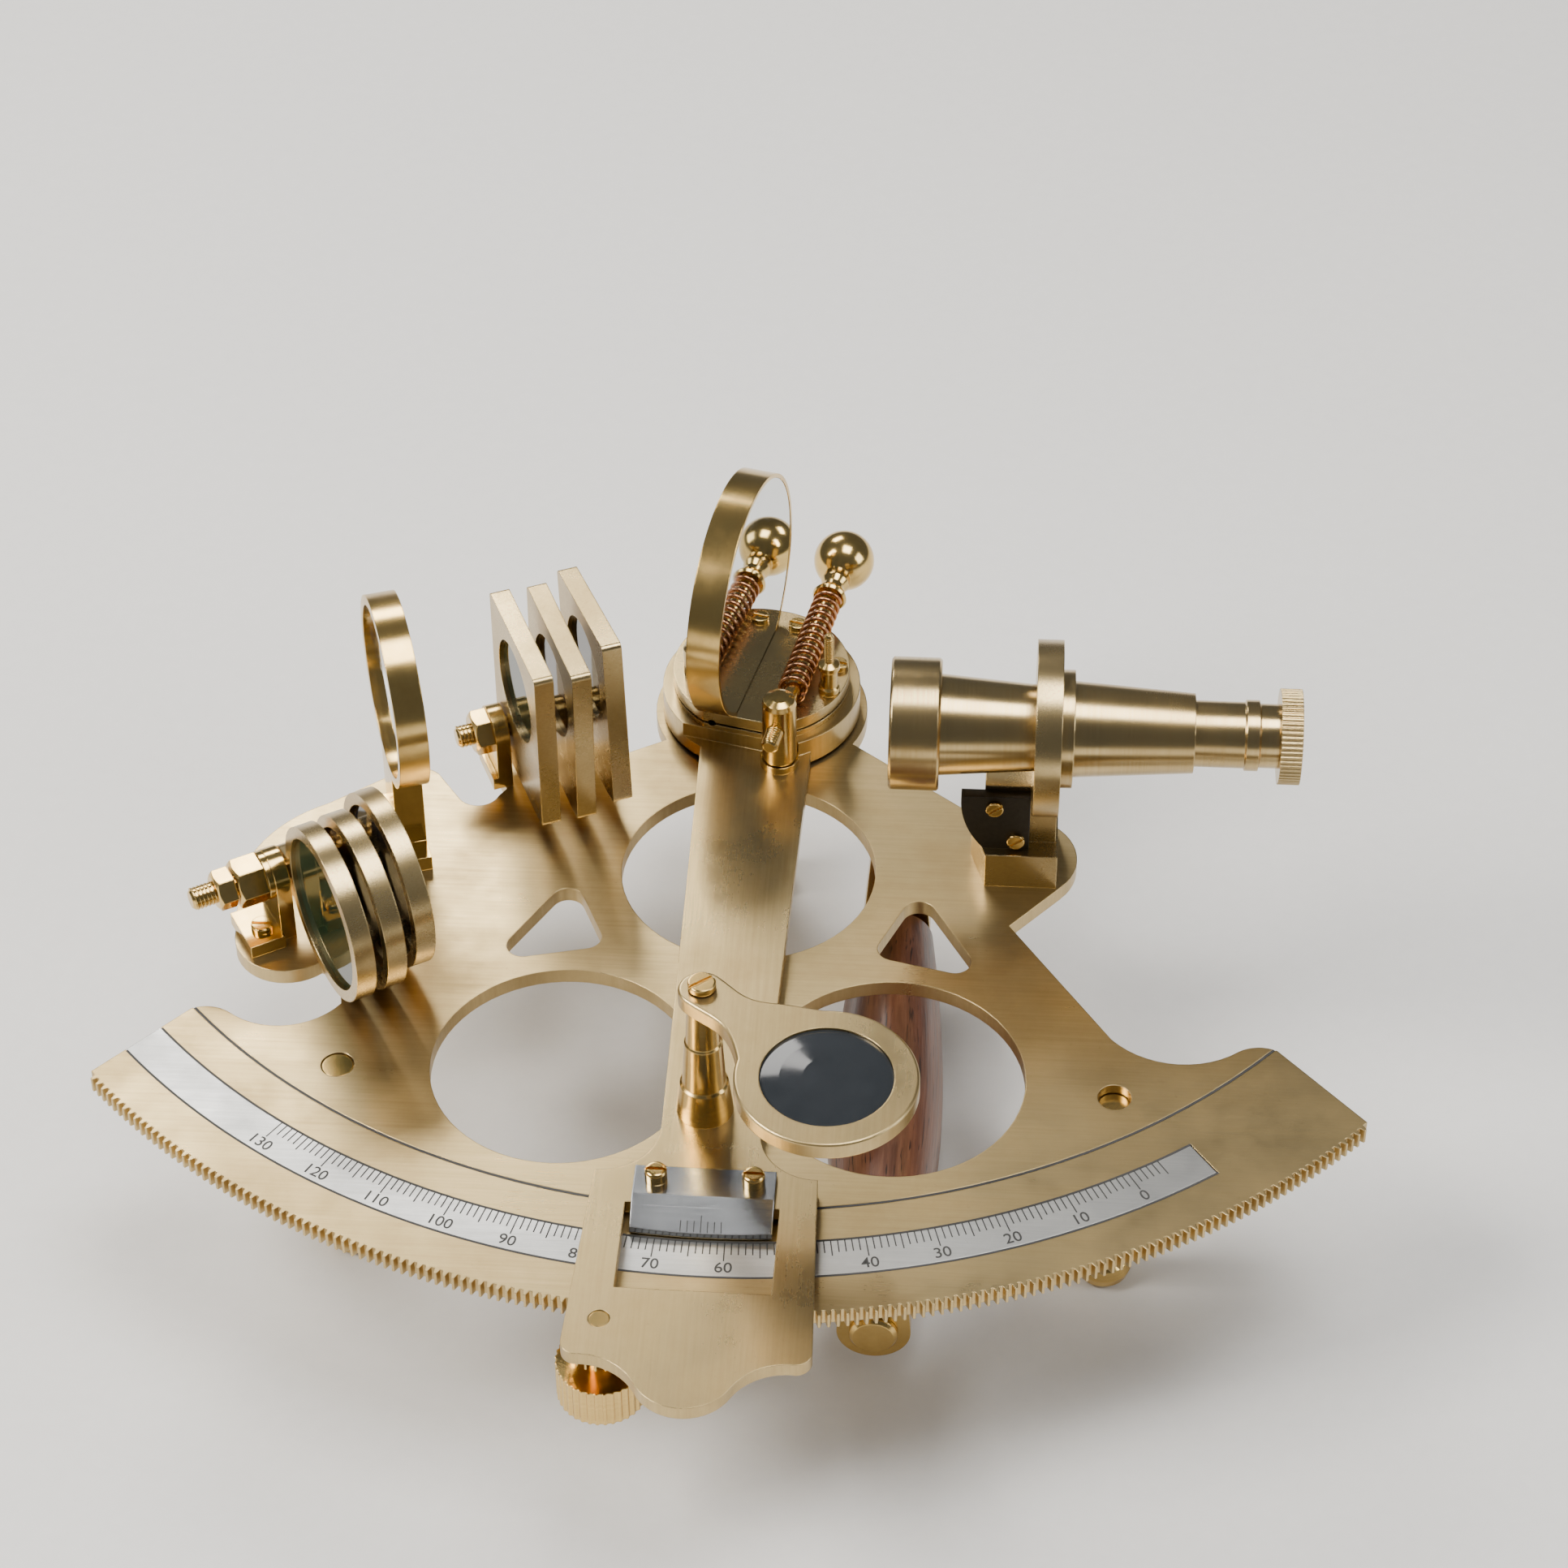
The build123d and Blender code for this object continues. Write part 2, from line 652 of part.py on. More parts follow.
lens_post = turned(
    [
        (0, arm_top), (4.9, arm_top), (4.8, arm_top + 1.2), (4.2, arm_top + 6.6), (3.75, arm_top + 7.0),
        (3.25, arm_top + 16.4), (2.95, arm_top + 16.8), (2.6, lens_plate_bottom - gap),
        (pin_radius, lens_plate_bottom - gap), (pin_radius, lens_plate_bottom + lens_plate_thickness + gap),
        (0, lens_plate_bottom + lens_plate_thickness + gap),
    ],
    Plane(origin=(lens_post_spot[0], lens_post_spot[1], 0)),
)
cap_base = lens_plate_bottom + lens_plate_thickness + gap
cap_plane = leaned(Plane(origin=(lens_post_spot[0], lens_post_spot[1], cap_base)), 37.0)
with BuildPart() as lens_post_and_cap:
    add(lens_post)
    add(slotted_screw(cap_plane, 2.4, 1.2))
keep(lens_post_and_cap.part, "lens_post")

lens_local = Plane(
    origin=(lens_post_spot[0], lens_post_spot[1], lens_plate_bottom),
    x_dir=(cos(radians(reach_angle)), sin(radians(reach_angle)), 0),
    z_dir=(0, 0, 1),
)
with BuildPart() as lens_holder:
    with BuildSketch(lens_local):
        Circle(4.0)
        with Locations((reach, 0)):
            Circle(lens_ring_radius)
        with BuildLine():
            Spline((0, 4.0), (8.0, 4.4), (13.0, 7.6), (reach - 8.0, 12.9), tangents=[(1, 0), (1, 0.9)])
            Line((reach - 8.0, 12.9), (reach - 8.0, -12.9))
            Spline(
                (reach - 8.0, -12.9), (15.0, -7.0), (8.0, -3.6), (0, -4.0),
                tangents=[(-0.6, 0.9), (-1, 0)],
            )
            Line((0, -4.0), (0, 4.0))
        make_face()
        Circle(pin_radius + running_clearance, mode=Mode.SUBTRACT)
        with Locations((reach, 0)):
            Circle(lens_radius, mode=Mode.SUBTRACT)
    extrude(amount=lens_plate_thickness)
    fillet(lens_holder.faces().sort_by(Axis.Z)[-1].outer_wire().edges(), 0.5)
keep(lens_holder.part, "lens_holder")

bulge = 0.9
rim_half = lens_plate_thickness / 2 - 0.5
reading_lens = turned(
    [
        (0, -rim_half - bulge), (lens_radius * 0.35, -rim_half - bulge * 0.88),
        (lens_radius * 0.7, -rim_half - bulge * 0.52), (lens_radius - 0.02, -rim_half),
        (lens_radius - 0.02, rim_half), (lens_radius * 0.7, rim_half + bulge * 0.52),
        (lens_radius * 0.35, rim_half + bulge * 0.88), (0, rim_half + bulge),
    ],
    Plane(origin=(lens_centre[0], lens_centre[1], lens_plate_bottom + lens_plate_thickness / 2)),
)
keep(reading_lens, "reading_lens")

# --- pinion, its knob and the keeper that holds the arm to the arc ---------------------
pinion_spot = arm_plane.from_local_coords((pinion_local[0], pinion_local[1], 0))
pinion_world_angle = arm_angle + pinion_angle
pinion_low = leg_height + 0.1
pinion_high = plate_top - 0.2
# a pinion gap must face the pivot when a rim tooth stands on the line of centres
pinion_phase = pinion_world_angle / tooth_step % 1 * (360 / pinion_teeth)
gear_plane = Plane(
    origin=(pinion_spot.X, pinion_spot.Y, pinion_low),
    x_dir=(-sin(radians(pinion_world_angle)), cos(radians(pinion_world_angle)), 0),
    z_dir=(0, 0, 1),
)


def pinion_tooth(number):
    """Corner points of one straight-sided pinion tooth on gear_plane."""
    middle = radians((number + 0.5) * 360 / pinion_teeth + pinion_phase)
    corners = ((4.2, -0.4), (4.95, -0.36), (pinion_radius + 0.45, -0.17))
    left = [(r * cos(middle + t / r), r * sin(middle + t / r)) for r, t in corners]
    right = [(r * cos(middle - t / r), r * sin(middle - t / r)) for r, t in reversed(corners)]
    return left + right


with BuildPart() as pinion:
    with BuildSketch(gear_plane):
        Circle(pinion_radius - 0.6)
        for number in range(pinion_teeth):
            with BuildLine():
                Polyline(*pinion_tooth(number), close=True)
            make_face()
    extrude(amount=pinion_high - pinion_low)
    with BuildSketch(gear_plane):
        Circle(1.75)
    extrude(amount=arm_top - 0.15 - pinion_low)
    with BuildSketch(gear_plane):
        Circle(2.2)
    extrude(amount=-4.0)
keep(pinion.part, "pinion")

knob_radius = 7.6
with BuildPart() as pinion_knob:
    with BuildSketch(gear_plane.offset(-4.0)):
        Circle(knob_radius)
        with PolarLocations(knob_radius + 0.35, 36):
            Circle(0.6, mode=Mode.SUBTRACT)
    extrude(amount=-8.0)
    chamfer(pinion_knob.faces().sort_by(Axis.Z)[0].edges(), 0.35)
keep(pinion_knob.part, "pinion_knob")

# the keeper hangs from the end plate outside the rim and reaches in under the plate
keeper_angle = 0.8
keeper_radius = 158.5
keeper_centre = arm_plane.from_local_coords((*polar(keeper_radius, keeper_angle), 0))
keeper_world = radians(arm_angle + keeper_angle)
keeper_side = Plane(
    origin=(keeper_centre.X, keeper_centre.Y, 0),
    x_dir=(-sin(keeper_world), cos(keeper_world), 0),
    z_dir=(cos(keeper_world), sin(keeper_world), 0),
)
keeper_low = leg_height - 4.0
clamp_spot = keeper_side.from_local_coords((14.0, 0, 0))
clamp_radius = 1.6
with BuildPart() as arm_keeper:
    with BuildSketch(keeper_side):
        with BuildLine():
            Polyline(
                (-3.0, arm_bottom), (-3.0, keeper_low), (21.0, keeper_low), (21.0, leg_height - 0.5),
                (4.4, leg_height - 0.5), (4.4, arm_bottom), close=True,
            )
        make_face()
    extrude(amount=5.0, both=True)
    with BuildSketch(Plane(origin=(clamp_spot.X, clamp_spot.Y, keeper_low - 1))):
        Circle(clamp_radius + running_clearance)
    extrude(amount=8.0, mode=Mode.SUBTRACT)
keep(arm_keeper.part, "arm_keeper")

with BuildPart() as clamp_screw:
    with BuildSketch(Plane(origin=(clamp_spot.X, clamp_spot.Y, keeper_low - 4.0))):
        Circle(clamp_radius)
    extrude(amount=leg_height - gap - keeper_low + 4.0)
    with BuildSketch(Plane(origin=(clamp_spot.X, clamp_spot.Y, keeper_low - 9.0))):
        Circle(5.2)
        with PolarLocations(5.45, 28):
            Circle(0.5, mode=Mode.SUBTRACT)
    extrude(amount=5.0)
keep(clamp_screw.part, "clamp_screw")

# --- horizon mirror -------------------------------------------------------------------
horizon_radius = 17.5
horizon_depth = 5.4
horizon_height = plate_top + 36.0
horizon_face = upright(-65.1, -40.1, horizon_height, horizon_normal)
with BuildPart() as horizon_mirror_ring:
    with BuildSketch(horizon_face):
        Circle(horizon_radius)
        Circle(horizon_radius - 1.8, mode=Mode.SUBTRACT)
    extrude(amount=horizon_depth)
keep(horizon_mirror_ring.part, "horizon_mirror_ring")

horizon_glass = disc(horizon_face.offset(1.3), horizon_radius - 1.82, 2.8)
with BuildPart() as horizon_mirror_silvered:
    add(horizon_glass)
    with BuildSketch(horizon_face):
        with Locations((0, 20)):
            Rectangle(60, 40)
    extrude(amount=horizon_depth, mode=Mode.SUBTRACT)
keep(horizon_mirror_silvered.part, "horizon_mirror_silvered")
with BuildPart() as horizon_mirror_clear:
    add(horizon_glass)
    with BuildSketch(horizon_face):
        with Locations((0, -20 + 0.02)):
            Rectangle(60, 40)
    extrude(amount=horizon_depth, mode=Mode.SUBTRACT)
keep(horizon_mirror_clear.part, "horizon_mirror_clear")

stand_top = horizon_height - horizon_radius + 1.2
with BuildPart() as horizon_stand:
    with BuildSketch(horizon_face.offset(-6.0)):
        with Locations((0, plate_top + 1.5 - horizon_height)):
            Rectangle(19.0, 3.0)
    extrude(amount=11.4)
    with BuildSketch(horizon_face):
        with Locations((0, (stand_top + plate_top) / 2 - horizon_height)):
            Rectangle(9.5, stand_top - plate_top)
    extrude(amount=horizon_depth)
    add(disc(horizon_face.offset(-1), horizon_radius, horizon_depth + 2), mode=Mode.SUBTRACT)
keep(horizon_stand.part, "horizon_stand")

# --- shade glasses: three over the index path, three behind the horizon mirror ---------
bolt_radius = 2.0
shade_thickness = 3.6
index_shade_normal = 23.4
index_shade_pitch = 6.8
index_shade_width, index_shade_height = 27.0, 35.0
index_bolt_height = plate_top + 10.8
index_bolt_in = 4.9
index_shade_low = plate_top + 4.4
near_edge = (-37.5, -40.1)
index_bolt_away = index_shade_width - index_bolt_in
index_bolt_plane = upright(
    near_edge[0] - index_bolt_away * sin(radians(index_shade_normal)),
    near_edge[1] + index_bolt_away * cos(radians(index_shade_normal)),
    index_bolt_height,
    index_shade_normal,
)
# how far each index shade stands out of line with the first, in degrees about the bolt
index_shade_lean = (0.0, 1.6, -5.0)
window_radius = 9.6


def index_shade_plane(number):
    """The plane of one index shade, turned about the bolt by its own lean."""
    return leaned(index_bolt_plane.offset(number * index_shade_pitch), index_shade_lean[number])


def index_shade_frame(base):
    """A rectangular brass frame with a round window and a bolt hole in its lower corner."""
    middle_x = index_bolt_in - index_shade_width / 2
    low = index_shade_low - index_bolt_height
    with BuildPart() as frame:
        with BuildSketch(base):
            with Locations((middle_x, low + index_shade_height / 2)):
                RectangleRounded(index_shade_width, index_shade_height, 1.0)
            Circle(bolt_radius + running_clearance, mode=Mode.SUBTRACT)
            with Locations((middle_x, low + index_shade_height - 13.0)):
                Circle(window_radius, mode=Mode.SUBTRACT)
        extrude(amount=shade_thickness)
    return frame.part


def index_shade_glass(base):
    """The coloured glass that fills the window of an index shade."""
    middle_x = index_bolt_in - index_shade_width / 2
    low = index_shade_low - index_bolt_height
    with BuildPart() as glass:
        with BuildSketch(base.offset(0.9)):
            with Locations((middle_x, low + index_shade_height - 13.0)):
                Circle(window_radius - 0.02)
        extrude(amount=1.8)
    return glass.part


for number in range(3):
    keep(index_shade_frame(index_shade_plane(number)), f"index_shade_frame_{number + 1}")
    keep(index_shade_glass(index_shade_plane(number)), f"index_shade_glass_{number + 1}")


def shade_bolt(base, start, end, head_radius):
    """A round bolt along base's z axis with a cheese head at its far end."""
    return turned(
        [
            (0, start), (bolt_radius - 0.5, start), (bolt_radius, start + 0.5), (bolt_radius, end),
            (head_radius, end), (head_radius, end + 2.2), (0, end + 2.2),
        ],
        base,
    )


def shade_spacers(base, pitch, count):
    """The friction washers between neighbouring shades, all on one bolt."""
    with BuildPart() as rings:
        for number in range(count - 1):
            low = number * pitch + shade_thickness + gap
            add(disc(base.offset(low), 3.4, pitch - shade_thickness - 2 * gap, bolt_radius))
    return rings.part


def shade_bracket(base, bolt_height, foot_width, foot_depth, foot_shift):
    """An angle bracket: a foot on the frame plate and a round-topped upright on the bolt."""
    drop = plate_top - bolt_height
    with BuildPart() as bracket:
        with BuildSketch(base.offset(-3.1)):
            Circle(4.6)
            with Locations((0, drop / 2)):
                Rectangle(9.2, -drop)
            Circle(bolt_radius, mode=Mode.SUBTRACT)
        extrude(amount=3.1 - gap)
        with BuildSketch(base.offset(-3.1)):
            with Locations((foot_shift, drop + 1.3)):
                Rectangle(foot_width, 2.6)
        extrude(amount=-foot_depth)
    return bracket.part


index_bolt_end = 2 * index_shade_pitch + shade_thickness + gap
keep(shade_bracket(index_bolt_plane, index_bolt_height, 9.2, 1.0, 0.0), "index_shade_bracket")
keep(shade_bolt(index_bolt_plane, -9.4, index_bolt_end, 3.6), "index_shade_bolt")
index_nut = hexagon_nut(flipped(index_bolt_plane.offset(-3.1)), 7.4, 3.4, bolt_radius)

horizon_shade_normal = 30.5
horizon_shade_pitch = 5.8
horizon_ring_radius = 16.1
horizon_ring_bore = 13.9
ring_to_bolt = 19.0
horizon_bolt_height = plate_top + 12.4
first_ring_centre = (-71.9, -77.6, plate_top + 17.0)
lift = degrees(atan2(first_ring_centre[2] - horizon_bolt_height, ring_to_bolt))
level = ring_to_bolt * cos(radians(lift))
horizon_bolt_plane = upright(
    first_ring_centre[0] - level * sin(radians(horizon_shade_normal)),
    first_ring_centre[1] + level * cos(radians(horizon_shade_normal)),
    horizon_bolt_height,
    horizon_shade_normal,
)
# each ring's rise above level, towards the arc, in degrees about the bolt
horizon_shade_rise = (lift, lift + 1.0, lift + 8.0)


def horizon_shade_plane(number):
    """The plane of one horizon shade, turned about the bolt by its own rise."""
    return leaned(horizon_bolt_plane.offset(number * horizon_shade_pitch), -horizon_shade_rise[number])


def horizon_shade_ring(base):
    """A round brass frame with a lug that turns on the bolt."""
    with BuildPart() as ring:
        with BuildSketch(base):
            with Locations((-ring_to_bolt, 0)):
                Circle(horizon_ring_radius)
            Circle(4.3)
            with Locations((-4.5, 0)):
                Rectangle(9.0, 8.6)
            Circle(bolt_radius + running_clearance, mode=Mode.SUBTRACT)
            with Locations((-ring_to_bolt, 0)):
                Circle(horizon_ring_bore, mode=Mode.SUBTRACT)
        extrude(amount=shade_thickness)
    return ring.part


def horizon_shade_glass(base):
    """The coloured glass of a horizon shade."""
    with BuildPart() as glass:
        with BuildSketch(base.offset(0.9)):
            with Locations((-ring_to_bolt, 0)):
                Circle(horizon_ring_bore - 0.02)
        extrude(amount=1.8)
    return glass.part


for number in range(3):
    keep(horizon_shade_ring(horizon_shade_plane(number)), f"horizon_shade_ring_{number + 1}")
    keep(horizon_shade_glass(horizon_shade_plane(number)), f"horizon_shade_glass_{number + 1}")

horizon_bolt_end = 2 * horizon_shade_pitch + shade_thickness + gap
keep(shade_bracket(horizon_bolt_plane, horizon_bolt_height, 10.0, 6.6, -1.5), "horizon_shade_bracket")
keep(shade_bolt(horizon_bolt_plane, -17.6, horizon_bolt_end, 3.6), "horizon_shade_bolt")
nut_base = flipped(horizon_bolt_plane.offset(-3.1))
with BuildPart() as shade_nuts:
    add(index_nut)
    add(disc(nut_base, 4.5, 1.1, bolt_radius))
    add(hexagon_nut(nut_base.offset(1.2), 8.0, 5.2, bolt_radius))
    add(hexagon_nut(nut_base.offset(6.7), 6.6, 3.4, bolt_radius))
keep(shade_nuts.part, "shade_nuts")
with BuildPart() as both_spacers:
    add(shade_spacers(index_bolt_plane, index_shade_pitch, 3))
    add(shade_spacers(horizon_bolt_plane, horizon_shade_pitch, 3))
keep(both_spacers.part, "shade_spacers")

bracket_screw_spot = horizon_bolt_plane.from_local_coords((-2.5, plate_top + 2.6 - horizon_bolt_height, -5.9))
# --- telescope and its bracket ----------------------------------------------------------
scope = along_x(0, telescope_y, axis_height)
ring_start, ring_end = 51.2, 55.8
ring_bore = 7.7

web_front = -44.5
web_thickness = 2.1
foot_height = 7.6
neck_start = 42.8
with BuildPart() as telescope_bracket:
    with BuildSketch(scope.offset(ring_start)):
        Circle(15.7)
        Circle(ring_bore, mode=Mode.SUBTRACT)
    extrude(amount=ring_end - ring_start)
    with BuildSketch(scope.offset(neck_start)):
        with Locations((1.6, -19.2)):
            Rectangle(8.0, 14.4)
    extrude(amount=ring_end - neck_start)
    with BuildSketch(Plane.XY.offset(plate_top)):
        with BuildLine():
            Polyline((43.2, -46.4), (56.2, -46.4), (56.2, -32.0), (41.6, -32.0), (40.6, -38.0), close=True)
        make_face()
    extrude(amount=foot_height)
keep(telescope_bracket.part, "telescope_bracket")

web_face = Plane(origin=(0, web_front, plate_top), x_dir=(1, 0, 0), z_dir=(0, -1, 0))
with BuildPart() as telescope_web:
    with BuildSketch(web_face):
        with BuildLine():
            Line((38.6, 20.0), (51.0, 20.0))
            Line((51.0, 20.0), (51.0, foot_height))
            Line((51.0, foot_height), (42.8, foot_height))
            ThreePointArc((42.8, foot_height), (39.6, 13.0), (38.6, 20.0))
        make_face()
    extrude(amount=-web_thickness)
keep(telescope_web.part, "telescope_web")

with BuildPart() as bracket_screws:
    for side in (-7.2, 7.2):
        spot = horizon_face.from_local_coords((side, plate_top + 3.0 - horizon_height, -2.6))
        add(slotted_screw(Plane(origin=spot, x_dir=horizon_face.z_dir, z_dir=(0, 0, 1)), 1.6, 0.9))
    add(slotted_screw(Plane(origin=bracket_screw_spot, x_dir=(1, 0, 0), z_dir=(0, 0, 1)), 2.0, 1.1))
    for x, z in ((44.6, 17.6), (48.6, 9.9)):
        spot = web_face.from_local_coords((x, z, 0))
        add(slotted_screw(Plane(origin=spot, x_dir=(0.8, 0, 0.6), z_dir=(0, -1, 0)), 1.6, 0.9))
keep(bracket_screws.part, "bracket_screws")

# bore of the long tube, run on by the draw tube
tube_bore = 5.95
tube_start = 62.0
draw_tube_radius = tube_bore - running_clearance
telescope_barrel = turned(
    [
        (6.6, 34.5), (9.0, 34.5), (7.7, ring_start), (7.7, ring_end), (10.5, ring_end), (10.5, 58.0),
        (8.55, 58.0), (7.1, 79.2), (tube_bore, 79.2), (tube_bore, 58.5), (6.6, 58.5),
    ],
    scope,
)
keep(telescope_barrel, "telescope_barrel")

objective_cell = turned(
    [
        (10.4, 25.6), (11.4, 25.6), (11.8, 26.0), (11.8, 34.1), (11.4, 34.5), (6.6, 34.5), (6.6, 33.0),
        (8.8, 33.0), (8.8, 31.4), (10.2, 31.4), (10.2, 27.6),
    ],
    scope,
)
keep(objective_cell, "objective_cell")

objective_lens = turned(
    [(0, 27.9), (5.0, 28.2), (10.18, 29.3), (10.18, 31.4), (0, 31.4)],
    scope,
)
keep(objective_lens, "objective_lens")

draw_tube = turned(
    [
        (4.8, tube_start), (draw_tube_radius, tube_start), (draw_tube_radius, 88.0), (6.3, 88.2),
        (6.3, 90.5), (5.7, 90.7), (5.7, 94.1), (4.8, 94.1),
    ],
    scope,
)
keep(draw_tube, "draw_tube")

eyepiece_radius = 8.5
with BuildPart() as eyepiece_ring:
    with BuildSketch(scope.offset(94.1)):
        Circle(eyepiece_radius)
        with PolarLocations(eyepiece_radius + 0.1, 60):
            Circle(0.32, mode=Mode.SUBTRACT)
        Circle(4.8, mode=Mode.SUBTRACT)
    extrude(amount=3.8)
keep(eyepiece_ring.part, "eyepiece_ring")

eyepiece_lens = turned([(0, 94.4), (4.78, 95.0), (4.78, 96.4), (0, 97.0)], scope)
keep(eyepiece_lens, "eyepiece_lens")
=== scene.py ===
"""Looks for the brass sextant: materials, engraved scale, threads, studio light, camera."""
import json
from math import cos, degrees, pi, radians, sin

import bpy
from mathutils import Matrix, Vector


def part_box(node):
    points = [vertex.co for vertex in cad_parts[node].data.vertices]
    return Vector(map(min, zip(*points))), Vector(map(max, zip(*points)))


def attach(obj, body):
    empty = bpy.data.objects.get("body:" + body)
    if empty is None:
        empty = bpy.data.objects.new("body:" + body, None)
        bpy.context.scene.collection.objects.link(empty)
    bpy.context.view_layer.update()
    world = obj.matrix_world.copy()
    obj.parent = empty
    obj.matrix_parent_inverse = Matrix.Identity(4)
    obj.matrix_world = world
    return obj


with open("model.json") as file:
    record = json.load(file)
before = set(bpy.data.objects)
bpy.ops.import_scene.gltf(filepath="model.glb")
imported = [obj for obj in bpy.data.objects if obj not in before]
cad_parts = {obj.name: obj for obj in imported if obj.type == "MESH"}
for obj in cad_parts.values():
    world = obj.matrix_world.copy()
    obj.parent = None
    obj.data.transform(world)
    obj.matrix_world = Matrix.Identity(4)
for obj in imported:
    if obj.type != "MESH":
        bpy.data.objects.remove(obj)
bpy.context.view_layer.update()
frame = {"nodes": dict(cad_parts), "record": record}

MM = 0.001

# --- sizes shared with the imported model, in metres and degrees --------------------------
scale_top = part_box("scale_strip")[1][2]
plate_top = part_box("frame_plate")[1][2]
strip_inner = 134.4 * MM
strip_right_end = 36.5
zero_angle = 31.0
division = 0.5
arm_angle = -0.75

# half the height by which the wax stands out of the metal around it
wax_rise = 0.00003


# --- node helpers ----------------------------------------------------------------------
class Shader:
    """A material's node tree, with short calls for the nodes that it needs."""

    def __init__(self, name):
        self.material = bpy.data.materials.new(name)
        self.material.use_nodes = True
        self.nodes = self.material.node_tree.nodes
        self.links = self.material.node_tree.links
        self.bsdf = self.nodes["Principled BSDF"]
        self.place = self.nodes.new("ShaderNodeTexCoord").outputs["Object"]

    def link(self, source, target):
        self.links.new(source, target)

    def noise(self, stretch, detail=4.0, roughness=0.6, turn=(0, 0, 0)):
        """Noise whose features repeat about `stretch` times per metre along x, y and z."""
        mapping = self.nodes.new("ShaderNodeMapping")
        mapping.inputs["Scale"].default_value = stretch
        mapping.inputs["Rotation"].default_value = [radians(a) for a in turn]
        noise = self.nodes.new("ShaderNodeTexNoise")
        noise.inputs["Scale"].default_value = 1.0
        noise.inputs["Detail"].default_value = detail
        noise.inputs["Roughness"].default_value = roughness
        self.link(self.place, mapping.inputs["Vector"])
        self.link(mapping.outputs["Vector"], noise.inputs["Vector"])
        return noise.outputs["Fac"]

    def ranged(self, value, low, high, to_low, to_high):
        """Value mapped from low..high to to_low..to_high, clamped."""
        node = self.nodes.new("ShaderNodeMapRange")
        node.inputs["From Min"].default_value = low
        node.inputs["From Max"].default_value = high
        node.inputs["To Min"].default_value = to_low
        node.inputs["To Max"].default_value = to_high
        self.link(value, node.inputs["Value"])
        return node.outputs["Result"]

    def mix(self, amount, first, second):
        """Colour mix; first and second are colours or sockets."""
        node = self.nodes.new("ShaderNodeMix")
        node.data_type = "RGBA"
        self.link(amount, node.inputs["Factor"])
        sockets = [s for s in node.inputs if s.type == "RGBA"]
        for socket, value in zip(sockets, (first, second)):
            if isinstance(value, tuple):
                socket.default_value = (*value, 1.0)
            else:
                self.link(value, socket)
        return [s for s in node.outputs if s.type == "RGBA"][0]

    def math(self, operation, first, second):
        node = self.nodes.new("ShaderNodeMath")
        node.operation = operation
        for socket, value in zip(node.inputs, (first, second)):
            if isinstance(value, (int, float)):
                socket.default_value = value
            else:
                self.link(value, socket)
        return node.outputs[0]

    def edges(self, radius):
        """A rounded-edge normal, and a mask that is 1 on sharp edges."""
        bevel = self.nodes.new("ShaderNodeBevel")
        bevel.samples = 4
        bevel.inputs["Radius"].default_value = radius
        geometry = self.nodes.new("ShaderNodeNewGeometry")
        dot = self.nodes.new("ShaderNodeVectorMath")
        dot.operation = "DOT_PRODUCT"
        self.link(bevel.outputs["Normal"], dot.inputs[0])
        self.link(geometry.outputs["True Normal"], dot.inputs[1])
        return bevel.outputs["Normal"], self.ranged(dot.outputs["Value"], 0.99, 0.8, 0.0, 1.0)

    def bump(self, height, distance, normal=None, strength=1.0):
        node = self.nodes.new("ShaderNodeBump")
        node.inputs["Distance"].default_value = distance
        node.inputs["Strength"].default_value = strength
        self.link(height, node.inputs["Height"])
        if normal is not None:
            self.link(normal, node.inputs["Normal"])
        self.link(node.outputs["Normal"], self.bsdf.inputs["Normal"])


def metal(name, bright, dull, grain, rough, turn=(0, 0, 0), patches=0.5, edge=0.00028):
    """Worked metal: brush or lathe lines along the grain, dull patches, bright worn edges."""
    s = Shader(name)
    lines = s.noise(grain, 5.0, 0.7, turn)
    cloud = s.noise((45, 45, 45), 6.0, 0.62)
    specks = s.noise((900, 900, 900), 3.0, 0.6)
    normal, worn = s.edges(edge)
    tone = s.ranged(cloud, 0.42, 0.68, 0.0, patches)
    colour = s.mix(tone, bright, dull)
    streak = s.ranged(lines, 0.35, 0.7, 0.0, 0.38)
    colour = s.mix(streak, colour, dull)
    spot = s.ranged(specks, 0.68, 0.76, 0.0, 0.18)
    dark = tuple(c * 0.45 for c in dull)
    colour = s.mix(spot, colour, dark)
    light = tuple(min(1.0, c * 1.12) for c in bright)
    colour = s.mix(worn, colour, light)
    s.link(colour, s.bsdf.inputs["Base Color"])
    s.bsdf.inputs["Metallic"].default_value = 1.0
    low, high = rough
    base = s.ranged(cloud, 0.35, 0.7, low, high)
    total = s.math("ADD", base, s.ranged(lines, 0.3, 0.7, -0.012, 0.025))
    total = s.math("SUBTRACT", total, s.math("MULTIPLY", worn, 0.04))
    s.link(total, s.bsdf.inputs["Roughness"])
    s.bump(lines, 0.000005, normal)
    return s.material


